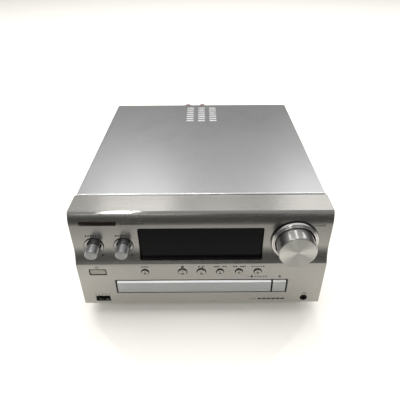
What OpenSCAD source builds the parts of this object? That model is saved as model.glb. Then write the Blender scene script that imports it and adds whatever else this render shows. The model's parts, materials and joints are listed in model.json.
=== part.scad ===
// Compact silver disc receiver: a drawer-loading disc player with a display, three knobs and a key row.
// Millimetres, +Z up. The origin is the middle of the footprint, on the surface the feet stand on.
// Every part is drawn with y = 0 on the lower fascia, z = 0 on its lower edge and the rear at +y;
// the last block moves them all onto the frame above.

/* [Case] */
// Width of the fascia
panel_w = 211; // [200:1:220]
// Height of the fascia
panel_h = 98.5; // [97:0.5:100]
// Depth of the fascia moulding
panel_depth = 30; // [28:1:34]
// Width of the folded steel cover
cover_w = 208.5; // [200:0.5:209]
// How far the cover stands above the fascia's top face
cover_rise = 1; // [0.5:0.1:1.5]
// Height of the feet
foot_h = 14.5; // [12:0.5:16]
// Distance from the lower fascia to the rear panel's outer face
body_depth = 225; // [222:1:236]
// Thickness of the steel sheets
sheet = 1; // [0.8:0.1:1.2]

/* [Fascia curve] */
// How far the band with the display lies behind the lower fascia
band_y = 4.3; // [3.5:0.1:5]
// Height of the crease between the band and the lower fascia
crease_z = 48.5; // [47:0.5:50]
// Height where the band starts to sweep forward to the crease
flare_z = 65.5; // [63:0.5:66]
// Height where the band starts to lean back to the top edge
lean_z = 86.5; // [85:0.5:88]

/* [Controls] */
// Radius of the volume knob
volume_r = 15.3; // [14.5:0.1:15.5]
// Radius of the two tone knobs
tone_r = 5; // [4.6:0.05:5.2]
// How far the volume knob stands out of the lower fascia
knob_reach = 11; // [9:0.5:13]
// Spacing of the round keys
key_pitch = 16; // [15:0.5:17]
// Height of the row of round keys
key_z = 39.8; // [39:0.1:40]
// Travel of the keys
key_travel = 0.7; // [0.4:0.1:0.8]

/* [Drawer] */
// Travel of the disc drawer
tray_travel = 128; // [120:1:130]
// Half the width of the drawer
tray_half = 65; // [64.5:0.1:65]
// Sideways offset of the loading mechanism
loader_x = -6.3; // [-7:0.1:-6]

/* [Rear] */
// How far the speaker terminals stand out of the rear panel
terminal_reach = 31; // [28:0.5:32]
// Spacing of the speaker terminals
terminal_pitch = 19; // [19:0.05:19.1]

/* [Hidden] */
cover_top = panel_h + cover_rise;
$fn = 64;

eps = 0.01;
front_y = -(body_depth + terminal_reach + knob_reach) / 2 + knob_reach;

// Shapes in the plane and along the axes

// A box from its lowest to its highest corner
module block(low, high) translate(low) cube(high - low);

// A centred rectangle with true round corners
module rounded_rect(w, h, r) {
    square([w - 2 * r, h], center = true);
    square([w, h - 2 * r], center = true);
    for (sx = [-1, 1], sy = [-1, 1])
        translate([sx * (w / 2 - r), sy * (h / 2 - r)]) circle(r);
}

// Extrudes an outline drawn in (x, z) from y0 back to y1
module along_y(y0, y1) translate([0, y1, 0]) rotate([90, 0, 0]) linear_extrude(y1 - y0) children();

// Extrudes an outline drawn in (y, z) from x0 to x1
module along_x(x0, x1) translate([x0, 0, 0]) rotate([90, 0, 90]) linear_extrude(x1 - x0) children();

// A cylinder along y at (x, z)
module rod_y(x, z, y0, y1, r) translate([x, y1, z]) rotate([90, 0, 0]) cylinder(h = y1 - y0, r = r);

// A turned part about an axis along y at (x, z); its points are [radius, y]
module turned_y(x, z, points)
    translate([x, 0, z]) rotate([-90, 0, 0]) rotate_extrude() polygon(points);

// Radius of the arc that is tangent at one end and moves sideways by run over a height of rise
function arc_radius(rise, run) = (rise * rise + run * run) / (2 * run);

// Gears: involute teeth with working backlash

gear_pressure = 20;
gear_backlash = 0.24;
function involute_angle(a) = tan(a) * 180 / PI - a;
function tooth_half_angle(r, base_r, at_pitch) =
    at_pitch + involute_angle(gear_pressure) - involute_angle(acos(min(1, base_r / r)));

// Outline of a gear with one tooth centred at the angle phase
module gear_outline(m, teeth, phase = 0) {
    pitch_r = m * teeth / 2;
    base_r = pitch_r * cos(gear_pressure);
    root_r = pitch_r - 1.2 * m;
    tip_r = pitch_r + 0.95 * m;
    at_pitch = 90 / teeth - gear_backlash / 2 / pitch_r * 180 / PI;
    low_r = max(base_r, root_r);
    radii = concat([root_r], [for (i = [0:4]) low_r + (tip_r - low_r) * i / 4]);
    last = len(radii) - 1;
    polygon([
        for (k = [0:teeth - 1], i = [0:2 * last + 1])
            let (up = i <= last, r = radii[up ? i : 2 * last + 1 - i])
            let (half = tooth_half_angle(r, base_r, at_pitch))
            let (a = phase + k * 360 / teeth + (up ? -half : half))
            r * [cos(a), sin(a)]
    ]);
}

// Outline of a rack along y whose teeth point to +x, with a gap centred on y = 0
module rack_outline(m, first, last, back) {
    p = PI * m;
    half = p / 4 - gear_backlash / 2;
    lean = tan(gear_pressure);
    polygon(concat(
        [[-back, (first + 0.5) * p - p / 2], [-1.25 * m, (first + 0.5) * p - p / 2]],
        [for (k = [first:last], e = [0:3])
            let (mid = (k + 0.5) * p, side = e < 2 ? -1 : 1, top = e == 1 || e == 2)
            [top ? 0.95 * m : -1.25 * m,
             mid + side * (half + (top ? -0.95 : 1.25) * m * lean)]],
        [[-1.25 * m, (last + 0.5) * p + p / 2], [-back, (last + 0.5) * p + p / 2]]
    ));
}

// Case

bend_r = 1.6;
side_wall = 2.7;
vent_pitch_x = 13.3;
vent_pitch_y = 6.2;
vent_first_y = body_depth - 46;
vent_slot = [8.4, 3.8];
cover_front_y = panel_depth + 0.2;
inner_half = cover_w / 2 - sheet;

module top_cover() color("silver") difference() {
    union() {
        along_y(cover_front_y, body_depth) difference() {
            translate([0, cover_top / 2]) rounded_rect(cover_w, cover_top, bend_r);
            translate([0, cover_top / 2 - sheet])
                rounded_rect(cover_w - 2 * sheet, cover_top, bend_r - sheet);
            translate([-cover_w, -1]) square([2 * cover_w, 2]);
        }
        block([-inner_half + 2, cover_front_y, cover_top - 5],
              [inner_half - 2, cover_front_y + sheet, cover_top - sheet / 2]);
    }
    // rolled front edge
    along_x(-cover_w, cover_w) difference() {
        translate([cover_front_y - 1, cover_top - sheet]) square([1 + sheet, 1 + sheet]);
        translate([cover_front_y + sheet, cover_top - sheet]) circle(sheet);
    }
    for (column = [-1:1], row = [0:6])
        translate([column * vent_pitch_x, vent_first_y + row * vent_pitch_y, cover_top - 2])
            linear_extrude(3) rounded_rect(vent_slot[0], vent_slot[1], 0.6);
    for (side = [-1, 1], y = cover_screw_y)
        translate([side * cover_w / 2, y, cover_screw_z]) rotate([0, 90, 0])
            cylinder(h = 6, r = 1.3, center = true);
}

// Slanted blades under the vent slots
module vent_louvre() color("whitesmoke") {
    half = vent_pitch_x + 6;
    y0 = vent_first_y - 5;
    y1 = vent_first_y + 6 * vent_pitch_y + 5;
    low = cover_top - 6;
    high = cover_top - sheet - 0.1;
    difference() {
        block([-half, y0, low], [half, y1, high]);
        block([-half + 1.2, y0 + 1.2, low - 1], [half - 1.2, y1 - 1.2, high + 1]);
    }
    for (row = [0:6])
        translate([0, vent_first_y + row * vent_pitch_y, high - 0.9])
            rotate([8, 0, 0]) cube([2 * half - 1, 4.6, 0.9], center = true);
    for (side = [-1, 1])
        block([side * vent_pitch_x / 2 - 0.6, y0 + 0.5, low], [side * vent_pitch_x / 2 + 0.6, y1 - 0.5, high]);
}

foot_x = 78;
foot_y = [45, 198];
cover_screw_y = [60, 190];
cover_screw_z = 14.5;
rear_screw_at = [[-95, 8.5], [95, 8.5], [-95, 90.5], [95, 90.5], [0, 8.5]];
chassis_half = inner_half - 0.2;
chassis_end_y = body_depth - sheet;
chassis_wall = 22;

module bottom_chassis() color("darkgray") {
    chassis_pan();
    // pressed-in posts that carry the main board
    for (p = standoff_at) translate([p[0], p[1], 0]) {
        translate([0, 0, sheet]) cylinder(h = board_z[0] - sheet, r = 3);
        translate([0, 0, sheet]) cylinder(h = board_z[1] + 1.5 - sheet, r = standoff_stud_r);
    }
}
module chassis_pan() difference() {
    union() {
        block([-chassis_half, cover_front_y, 0], [chassis_half, chassis_end_y, sheet]);
        for (side = [-1, 1])
            translate([side * (chassis_half - sheet / 2), (cover_front_y + chassis_end_y) / 2, chassis_wall / 2])
                cube([sheet, chassis_end_y - cover_front_y, chassis_wall], center = true);
    }
    for (side = [-1, 1], y = foot_y)
        translate([side * foot_x, y, -1]) cylinder(h = 3, r = 1.3);
    for (side = [-1, 1], row = [0:5])
        translate([side * 42, 74 + row * 8, -1])
            linear_extrude(3) rounded_rect(40, 3, 1.4);
    for (side = [-1, 1], y = cover_screw_y)
        translate([side * cover_w / 2, y, cover_screw_z]) rotate([0, 90, 0])
            cylinder(h = 8, r = 1.3, center = true);
}

terminal_x = -8.6;
terminal_z = 73;
rca_at = [[-52, 84.5], [-52, 68.5]];
optical_at = [-76, 76.5];
antenna_at = [48, 80.5];
inlet_at = [74, 22.5];

module rear_panel() color("gainsboro") difference() {
    along_y(body_depth - sheet, body_depth)
        translate([-chassis_half, 0.5]) square([2 * chassis_half, cover_top - sheet - 0.8]);
    translate([0, body_depth, 0]) {
        block([terminal_x - 15, -3, terminal_z - 15], [terminal_x + 15, 3, terminal_z + 15]);
        for (p = rca_at) rod_y(p[0], p[1], -3, 3, 5.1);
        block([optical_at[0] - 5.1, -3, optical_at[1] - 5.1], [optical_at[0] + 5.1, 3, optical_at[1] + 5.1]);
        rod_y(antenna_at[0], antenna_at[1], -3, 3, 5.1);
        block([inlet_at[0] - 11.1, -3, inlet_at[1] - 7.1], [inlet_at[0] + 11.1, 3, inlet_at[1] + 7.1]);
        for (p = rear_screw_at) rod_y(p[0], p[1], -3, 3, 1.3);
        for (row = [0:7])
            translate([18, 0, 16.5 + row * 5]) along_y(-3, 3) rounded_rect(50, 2.2, 1);
    }
}

// The polished chamfer on the fascia's top front edge, and the arcs of its front
edge_chamfer = 1.5;
lean_end_z = panel_h - edge_chamfer;
lean_run = 2.5;
edge_y = band_y + lean_run;
flare_r = arc_radius(flare_z - crease_z, band_y);
lean_r = arc_radius(lean_end_z - lean_z, lean_run);

arc_steps = 24;
// The section's front line at a height in the sweep below the band, and in the lean above it
function flare_y(z) = band_y - flare_r + sqrt(flare_r * flare_r - (z - flare_z) * (z - flare_z));
function lean_y(z) = band_y + lean_r - sqrt(lean_r * lean_r - (z - lean_z) * (z - lean_z));

// Outline of the fascia's section in (y, z), in front of its hollow
module fascia_section() polygon(concat(
    [[0, 0.8], [0.8, 0], [panel_depth, 0], [panel_depth, panel_h], [edge_y + edge_chamfer, panel_h]],
    [for (i = [arc_steps:-1:0]) let (z = lean_z + (lean_end_z - lean_z) * i / arc_steps) [lean_y(z), z]],
    [for (i = [arc_steps:-1:0]) let (z = crease_z + (flare_z - crease_z) * i / arc_steps) [flare_y(z), z]]
));

band_wall_y = 8.2;
lower_wall_y = 4;
base_wall = 1.8;
display_size = [102.3, 32.3];
display_z = 67.8;
glass_y = band_y + 0.2;
volume_at = [76.5, 70.5];
tone_at = [[-88.5, 65.9], [-64, 65.9]];
collar_r = 19.7;
collar_inner_r = 16.3;
tone_collar_r = 8.2;
slot_x = [-74.6, 74.7];
slot_z = [13.7, 29.7];
power_at = [-88.3, 39.7];
power_size = [13.4, 5.6];
usb_at = [-88.3, 6.9];
usb_size = [13.2, 6.8];
jack_at = [91.4, 6.3];
jack_r = 3.2;
small_key_r = 3;
large_key_r = 3.6;
key_gap = 0.5;
power_gap = 0.7;
key_names = ["radio", "stop", "play", "back", "forward", "selector"];
function key_x(i) = i == 0 ? -3 * key_pitch : (i - 2) * key_pitch;
function key_r(i) = i == 1 || i == 2 ? large_key_r : small_key_r;

module front_panel() color("silver") difference() {
    along_x(-panel_w / 2, panel_w / 2) fascia_section();
    block([-panel_w / 2 + side_wall, band_wall_y, base_wall],
          [panel_w / 2 - side_wall, panel_depth + 1, panel_h - 2.8]);
    block([-panel_w / 2 + side_wall, lower_wall_y, base_wall],
          [panel_w / 2 - side_wall, band_wall_y + 1, crease_z - 3]);
    translate([0, 0, display_z]) along_y(-1, 10) rounded_rect(display_size[0], display_size[1], 1.6);
    rod_y(volume_at[0], volume_at[1], -1, 10, 17);
    rod_y(volume_at[0], volume_at[1], -1, band_y, collar_r + 0.05);
    for (p = tone_at) {
        rod_y(p[0], p[1], -1, 10, 7);
        rod_y(p[0], p[1], -1, band_y, tone_collar_r + 0.05);
    }
    for (i = [0:5]) rod_y(key_x(i), key_z, -1, 10, key_r(i) + key_gap);
    translate([power_at[0], 0, power_at[1]]) along_y(-1, 10)
        rounded_rect(power_size[0] + 2 * power_gap, power_size[1] + 2 * power_gap, 1);
    block([slot_x[0], -1, slot_z[0]], [slot_x[1], 10, slot_z[1]]);
    translate([usb_at[0], 0, usb_at[1]]) along_y(-1, 10) rounded_rect(usb_size[0], usb_size[1], 0.6);
    rod_y(jack_at[0], jack_at[1], -1, 10, jack_r + 0.05);
}

// Black frame round the display glass
module display_bezel() color("black") translate([0, 0, display_z]) difference() {
    along_y(glass_y, band_wall_y) rounded_rect(display_size[0] - 0.1, display_size[1] - 0.1, 1.55);
    along_y(glass_y - 1, band_wall_y + 1) rounded_rect(display_size[0] - 2.1, display_size[1] - 2.1, 0.6);
}

module display_window() color([0.05, 0.05, 0.06]) translate([0, 0, display_z])
    along_y(glass_y + 0.2, glass_y + 2.2) rounded_rect(display_size[0] - 2.1, display_size[1] - 2.1, 0.6);

module display_module() color("dimgray") {
    block([-48, glass_y + 2.2, display_z - 13], [48, 13, display_z + 13]);
    block([-44, 13, display_z - 10], [44, front_board_y[0], display_z - 6]);
}

front_board_y = [16, 17.6];
shaft_r = 3;
module front_board() color("darkgreen") difference() {
    block([-99, front_board_y[0], 49.5], [99, front_board_y[1], 91.5]);
    rod_y(volume_at[0], volume_at[1], 15, 19, shaft_r + 0.6);
    for (p = tone_at) rod_y(p[0], p[1], 15, 19, 2.6);
}

// Lower boards: the key switches, the drawer key's switch, and the carriers of the two front sockets
switch_y = 8.6;
eject_switch_y = 9.2;
module button_board() color("darkgreen") {
    block([-99, 12, 33], [60, 13.6, 45]);
    for (i = [0:5]) block([key_x(i) - 3, switch_y, key_z - 3], [key_x(i) + 3, 12, key_z + 3]);
    block([power_at[0] - 3, switch_y, power_at[1] - 3], [power_at[0] + 3, 12, power_at[1] + 3]);
    block([63, 12, 14], [99, 13.6, 45]);
    block([64.6, eject_switch_y, 18.5], [70.6, 12, 24.5]);
    block([82, 14, 2], [99, 15.6, 16]);
    block([88, 13.6, 14], [96, 14, 16]);
    block([-99, 15, 2], [-77, 16.6, 16]);
}

module volume_collar() color("lightgray") turned_y(volume_at[0], volume_at[1], [
    [collar_r, band_y], [collar_r, 1.6], [collar_r - 0.25, 1.3], [collar_r - 1, 0.8], [collar_r - 1.9, 0.9],
    [collar_r - 2.2, 1.2], [collar_r - 2.5, 0.7], [collar_r - 3, 0.5], [collar_inner_r, 0.8],
    [collar_inner_r, 6.8], [5.2, 6.8], [5.2, 8], [16.95, 8], [16.95, band_y]
]);

module tone_collars() color("lightgray") for (p = tone_at) turned_y(p[0], p[1], [
    [tone_collar_r, band_y], [tone_collar_r, band_y - 0.6], [tone_collar_r - 0.4, band_y - 0.7],
    [tone_r + 0.9, band_y - 0.1], [tone_r + 0.9, 6.9], [3.4, 6.9], [3.4, 8], [6.95, 8], [6.95, band_y]
]);

// The volume encoder and the two tone potentiometers, each a box with a collar round its shaft
module knob_controls() color("dimgray") {
    rotary_control(volume_at, 8, 6.9, 4.6, shaft_r);
    for (p = tone_at) rotary_control(p, 5, 7.2, 3.1, tone_shaft_r);
}
module rotary_control(at, half, collar_y, collar_radius, shaft) difference() {
    union() {
        block([at[0] - half, 9.6, at[1] - half], [at[0] + half, front_board_y[0], at[1] + half]);
        rod_y(at[0], at[1], collar_y, 9.7, collar_radius);
    }
    rod_y(at[0], at[1], collar_y - 1, front_board_y[1], shaft + 0.05);
}

module volume_shaft() color("lightgray") rod_y(volume_at[0], volume_at[1], -6, 15.6, shaft_r);

module volume_knob() color("silver") turned_y(volume_at[0], volume_at[1], [
    [0, -knob_reach], [volume_r - 0.8, -knob_reach], [volume_r, -knob_reach + 0.8], [volume_r, 2.5],
    [volume_r - 1.6, 2.5], [volume_r - 1.6, -knob_reach + 3], [5, -knob_reach + 3], [5, 3],
    [shaft_r + 0.02, 3], [shaft_r + 0.02, -6.2], [0, -6.2]
]);

tone_shaft_r = 2;
tone_reach = 7.5;
// A tone knob: the cap and the shaft pressed into it
module tone_knob(p) color("silver") {
    turned_y(p[0], p[1], [
        [0, -tone_reach], [tone_r - 0.5, -tone_reach], [tone_r, -tone_reach + 0.5], [tone_r, 5.2],
        [tone_shaft_r, 5.2], [tone_shaft_r, -2], [0, -2]
    ]);
    rod_y(p[0], p[1], -2, 15.6, tone_shaft_r);
}
module bass_knob() tone_knob(tone_at[0]);
module treble_knob() tone_knob(tone_at[1]);

key_back_y = switch_y - key_travel - 0.3;
key_flange_y = [lower_wall_y + 0.3, lower_wall_y + 1.3];
module round_key(i) color("lightgray") turned_y(key_x(i), key_z, [
    [0, -0.5], [key_r(i) - 1.1, -1.1], [key_r(i) - 0.4, -0.9], [key_r(i), -0.5], [key_r(i), key_flange_y[0]],
    [key_r(i) + 1, key_flange_y[0]], [key_r(i) + 1, key_flange_y[1]], [1.8, key_flange_y[1]],
    [1.8, key_back_y], [0, key_back_y]
]);
module radio_button() round_key(0);
module stop_button() round_key(1);
module play_button() round_key(2);
module back_button() round_key(3);
module forward_button() round_key(4);
module selector_button() round_key(5);

module power_button() color("lightgray") translate([power_at[0], 0, power_at[1]]) {
    along_y(0.25, key_flange_y[0]) rounded_rect(power_size[0] - 0.4, power_size[1] - 0.4, 0.8);
    along_y(key_flange_y[0], key_flange_y[1]) rounded_rect(power_size[0] + 2.4, power_size[1] + 2.4, 0.8);
    rod_y(0, 0, key_flange_y[1], key_back_y, 1.8);
}

door_gap = 1.35;
door_x = [slot_x[0] + door_gap, 60.6];
door_z = [slot_z[0] + 1, slot_z[1] - 0.8];
door_y = [-1.5, 3.6];
door_bevel = [1.7, 0.95];
door_undercut = 1.6;
eject_x = [door_x[1] + door_gap, slot_x[1] - door_gap];

// Section in (y, z) of the drawer's front and of the eject key: both long edges slanted, a groove near the foot
module door_section() difference() {
    polygon([
        [door_y[0], door_z[0] + door_undercut], [door_y[0] + door_undercut, door_z[0]],
        [door_y[1], door_z[0]], [door_y[1], door_z[1]],
        [door_y[0] + door_bevel[0], door_z[1]], [door_y[0], door_z[1] - door_bevel[1]]
    ]);
    translate([door_y[0] - 1, door_z[0] + 3.1]) square([1.4, 0.5]);
}

module eject_button() color("lightgray") {
    along_x(eject_x[0], eject_x[1]) door_section();
    rod_y((eject_x[0] + eject_x[1]) / 2, 21.5, door_y[1], eject_switch_y - key_travel - 0.3, 2);
}

module usb_port() color("gray") translate([usb_at[0], 0, usb_at[1]]) {
    along_y(0.8, 15) difference() {
        rounded_rect(usb_size[0] - 0.1, usb_size[1] - 0.1, 0.5);
        rounded_rect(usb_size[0] - 0.7, usb_size[1] - 0.7, 0.3);
    }
    along_y(14, 15) square([usb_size[0] - 0.6, usb_size[1] - 0.6], center = true);
    block([-5.6, 2.4, 1.6], [5.6, 14.5, 2.7]);
}

jack_bore_r = 1.8;
jack_bore_end = 12;
module headphone_jack() color("black") turned_y(jack_at[0], jack_at[1], [
    [jack_bore_r, -0.3], [jack_r, -0.3], [jack_r, lower_wall_y], [4.4, lower_wall_y], [4.4, 14], [0, 14],
    [0, jack_bore_end], [jack_bore_r, jack_bore_end]
]);

// Electronics

board_z = [38.5, 40.1];
sink_x = [-24, 24];
sink_y = [172, 214];
sink_top = 88.5;
standoff_at = [[-88, 44], [88, 44], [-88, 196], [88, 196]];
standoff_stud_r = 1.5;

module main_board() color("darkgreen") difference() {
    block([-96, 38, board_z[0]], [96, 206, board_z[1]]);
    for (p = standoff_at) translate([p[0], p[1], board_z[0] - 1]) cylinder(h = 4, r = standoff_stud_r);
}

// Capacitors, coils and chips, each standing on the main board
module board_parts() color("midnightblue") translate([0, 0, board_z[1]]) {
    for (x = [-30, -8], y = [112, 134]) translate([x, y, 0]) cylinder(h = 32, r = 9);
    for (x = [14, 30, 46], y = [110, 128]) translate([x, y, 0]) cylinder(h = 16, r = 5);
    for (x = [62, 84]) translate([x, 120, 0]) difference() {
        cylinder(h = 9, r = 9);
        translate([0, 0, -1]) cylinder(h = 11, r = 4);
    }
    for (x = [-60, -20, 20, 60]) translate([x - 7, 66, 0]) cube([14, 14, 2]);
    for (side = [-1, 1]) translate([side * 40 - 4, 180, 0]) cube([8, 20, 14]);
}

transformer_at = [-68, 130];
module transformer() color("goldenrod") translate([transformer_at[0], transformer_at[1], board_z[1]]) {
    translate([-20, -17, 0]) cube([40, 34, 4]);
    translate([-20, -7, 4]) cube([40, 14, 34]);
    difference() {
        translate([-14, -17, 4]) cube([28, 34, 26]);
        translate([-15, -7, 3]) cube([30, 14, 40]);
    }
}

module heat_sink() color("silver") {
    block([sink_x[0], sink_y[0], board_z[1]], [sink_x[1], sink_y[1], board_z[1] + 6]);
    for (i = [0:8])
        block([sink_x[0] + i * 5.6, sink_y[0], board_z[1] + 6],
              [sink_x[0] + i * 5.6 + 1.8, sink_y[1], sink_top]);
}

// Loading mechanism, drawn about its own centre line

loader_half = tray_half + 0.4;
loader_wall = 3.4;
loader_y = [9, 169];
loader_floor = [2, 4];
loader_top = 26.9;
tray_z = [19, 24.5];
tray_end_y = 158;
disc_y = 74;
disc_floor_z = 21;
disc_r = 60.5;
hub_clearance = 19;
bridge_z = [29.1, 31.1];
bridge_y = [56, 92];
hinge_y = 160;
hinge_z = 16;
hinge_r = 1.8;
traverse_half = 42;
rack_x = -(tray_half - 8);
rack_module = 1;
pinion_teeth = 20;
gear_module = 0.8;
wheel_teeth = 36;
small_teeth = 12;
drive_at = [rack_x + rack_module * pinion_teeth / 2, 24];
pulley_at = [drive_at[0] + gear_module * (wheel_teeth + small_teeth) / 2, 24];
pulley_r = 10.5;
motor_pulley_r = 3.5;
motor_at = [pulley_at[0] + 31.8, 24];
belt_z = [7.1, 9.1];
shelf_z = [9.8, 10.8];
axle_r = 1.9;

module in_loader() translate([loader_x, 0, 0]) children();

module loader_chassis() color("darkslategray") in_loader() {
    difference() {
        union() {
            block([-loader_half - loader_wall, loader_y[0], loader_floor[0]],
                  [loader_half + loader_wall, loader_y[1], loader_floor[1]]);
            for (side = [-1, 1]) {
                loader_side(side, loader_wall, loader_half, loader_y, [loader_floor[0], loader_top]);
                loader_side(side, loader_wall, loader_half, bridge_y, [loader_floor[0], bridge_z[1]]);
                // lips above and below the drawer
                loader_side(side, 2.5, loader_half - 2.4, loader_y, [tray_z[0] - 2.3, tray_z[0] - 0.3]);
                loader_side(side, 2.5, loader_half - 2.4, loader_y, [tray_z[1] + 0.3, loader_top]);
                // hinge posts of the traverse
                loader_side(side, 4, 46.5, [hinge_y - 5, hinge_y + 5], [loader_floor[0], 18.5]);
                // pads on the case floor
                for (y = [40, 160]) translate([side * 60, y, sheet]) cylinder(h = loader_floor[0] - sheet + eps, r = 5);
            }
            block([-loader_half - loader_wall, bridge_y[0], bridge_z[0]],
                  [loader_half + loader_wall, bridge_y[1], bridge_z[1]]);
            block([-loader_half - loader_wall, loader_y[1] - 2.5, loader_floor[0]],
                  [loader_half + loader_wall, loader_y[1], 18.5]);
            // shelf of the loading motor
            block([motor_at[0] - 6, motor_at[1] - 10, shelf_z[0]], [motor_at[0] + 14, motor_at[1] + 10, shelf_z[1]]);
            block([motor_at[0] + 11, motor_at[1] - 10, loader_floor[0]],
                  [motor_at[0] + 14, motor_at[1] + 10, shelf_z[1]]);
        }
        block([-46, 46, loader_floor[0] - 2], [46, 164, loader_floor[1] + 1]);
        translate([0, disc_y, bridge_z[0] - 1]) cylinder(h = 4, r = 11);
        translate([-60, hinge_y, hinge_z]) rotate([0, 90, 0]) cylinder(h = 120, r = hinge_r + 0.05);
        translate([motor_at[0], motor_at[1], 8]) cylinder(h = 4, r = 3);
    }
    translate([drive_at[0], drive_at[1], loader_floor[0]]) cylinder(h = 16.5, r = axle_r);
    translate([pulley_at[0], pulley_at[1], loader_floor[0]]) cylinder(h = 13.1, r = axle_r);
}

// A wall of the loader on one side: its thickness, its inner face, and its span along y and z
module loader_side(side, thick, inner, span_y, span_z)
    translate([side * (inner + thick / 2), (span_y[0] + span_y[1]) / 2, (span_z[0] + span_z[1]) / 2])
        cube([thick, span_y[1] - span_y[0], span_z[1] - span_z[0]], center = true);

module disc_tray() color("darkslategray") in_loader() difference() {
    union() {
        block([-tray_half, door_y[1], tray_z[0]], [tray_half, tray_end_y, tray_z[1]]);
        translate([rack_x, drive_at[1], tray_z[0] - 3.6]) linear_extrude(3.7)
            rack_outline(rack_module, -4, 41, 4.5);
    }
    translate([0, disc_y, disc_floor_z]) cylinder(h = 10, r = disc_r);
    translate([0, disc_y, disc_floor_z - 1]) cylinder(h = 10, r = 40.5);
    translate([0, disc_y, tray_z[0] - 1]) cylinder(h = 10, r = hub_clearance);
    block([-hub_clearance, disc_y, tray_z[0] - 1], [hub_clearance, 160, tray_z[1] + 1]);
    for (side = [-1, 1])
        translate([side * 46, 24, disc_floor_z - 1]) cylinder(h = 10, r = 11);
}

module tray_front() color("gainsboro") along_x(door_x[0], door_x[1]) door_section();

module tray_drive_gear() color("white") in_loader() translate([drive_at[0], drive_at[1], 0]) difference() {
    union() {
        translate([0, 0, 10.9]) linear_extrude(3.2) gear_outline(gear_module, wheel_teeth);
        translate([0, 0, 14.1]) cylinder(h = 1.2, r = 6);
        translate([0, 0, 15.3]) linear_extrude(3.2) gear_outline(rack_module, pinion_teeth);
    }
    translate([0, 0, 8]) cylinder(h = 12, r = axle_r + 0.05);
}

// Rim of a pulley for the belt: its radius, its lowest and highest z, and how far its flanges stand out
module pulley_rim(r, low, high, flange) rotate_extrude() polygon([
    [0, low], [r + flange, low], [r + flange, belt_z[0] - 0.2], [r - 0.7, belt_z[0] - 0.1],
    [r - 0.7, belt_z[1] + 0.1], [r + flange, belt_z[1] + 0.2], [r + flange, high], [0, high]
]);

// Belt pulley with the small gear on it
module belt_pulley() color("white") in_loader() translate([pulley_at[0], pulley_at[1], 0]) difference() {
    union() {
        pulley_rim(pulley_r, 6.1, 10.1, 1);
        translate([0, 0, 10]) linear_extrude(4.5) gear_outline(gear_module, small_teeth, 180 / small_teeth);
    }
    translate([0, 0, 5]) cylinder(h = 12, r = axle_r + 0.05);
}

motor_shaft_r = 0.9;
module motor_pulley() color("white") in_loader() translate([motor_at[0], motor_at[1], 0]) {
    pulley_rim(motor_pulley_r, 6.1, 9.5, 0.9);
    translate([0, 0, 9.4]) cylinder(h = 3.1, r = motor_shaft_r);
}

module loading_motor() color("silver") in_loader() translate([motor_at[0], motor_at[1], 0]) difference() {
    translate([0, 0, shelf_z[1]]) cylinder(h = 7.4, r = 10);
    translate([0, 0, shelf_z[1] - 1]) cylinder(h = 4, r = motor_shaft_r + 0.05);
}

// Outline round two pulleys of radii a and b, at a distance d along x
module belt_outline(a, b, d) {
    lean = acos((a - b) / d);
    polygon(concat(
        [for (i = [0:24]) let (t = lean + (360 - 2 * lean) * i / 24) a * [cos(t), sin(t)]],
        [for (i = [0:12]) let (t = -lean + 2 * lean * i / 12) [d + b * cos(t), b * sin(t)]]
    ));
}

module loading_belt() color("black") in_loader()
    translate([pulley_at[0], pulley_at[1], belt_z[0]]) linear_extrude(belt_z[1] - belt_z[0]) difference() {
        belt_outline(pulley_r + 0.6, motor_pulley_r + 0.6, motor_at[0] - pulley_at[0]);
        belt_outline(pulley_r - 0.5, motor_pulley_r - 0.5, motor_at[0] - pulley_at[0]);
    }

// Traverse: spindle, pickup and their frame

rod_x = 22;
rod_r = 1.5;
rod_span = [78, 152];
screw_x = 32;
screw_z = 16;
screw_r = 1.3;
sled_y = 96;
sled_travel = 36;

module traverse_frame() color("gray") in_loader() {
    difference() {
        union() {
            block([-traverse_half, 52, 14], [traverse_half, 164, 18]);
            block([-traverse_half, 158, 13], [traverse_half, 164, 18]);
        }
        block([-30, 82, 10], [37, 150, 25]);
        translate([0, disc_y, 10]) cylinder(h = 12, r = 6.5);
        for (side = [-1, 1]) rod_y(side * rod_x, hinge_z, rod_span[0], rod_span[1], rod_r);
        rod_y(screw_x, screw_z, rod_span[0], 83, screw_r + 0.05);
    }
    for (side = [-1, 1])
        translate([side * (traverse_half + 4), hinge_y, hinge_z]) rotate([0, 90, 0])
            cylinder(h = 8.1, r = hinge_r, center = true);
}

module guide_rods() color("lightgray") in_loader()
    for (side = [-1, 1]) rod_y(side * rod_x, hinge_z, rod_span[0], rod_span[1], rod_r);

// The spindle motor under the frame and the sled motor in its window
sled_motor_y = [139.5, 150];
spindle_motor_r = 13;
module traverse_motors() color("silver") in_loader() {
    translate([0, disc_y, 0]) difference() {
        translate([0, 0, 10]) cylinder(h = 4, r = spindle_motor_r);
        translate([0, 0, 9]) cylinder(h = 6, r = spindle_r + 0.05);
    }
    difference() {
        rod_y(screw_x, screw_z, sled_motor_y[0], sled_motor_y[1], 2.5);
        rod_y(screw_x, screw_z, sled_motor_y[0] - 1, sled_motor_y[0] + 7, screw_r + 0.05);
    }
}

spindle_r = 1;
module turntable() color("black") in_loader() translate([0, disc_y, 0]) rotate_extrude() polygon([
    [0, 9.5], [spindle_r, 9.5], [spindle_r, 15.5], [5.5, 18.2], [5.5, 22.1], [15, 22.1], [15, 24],
    [7.4, 24], [7.4, 26.1], [5.2, 27.3], [0, 27.3]
]);

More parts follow.
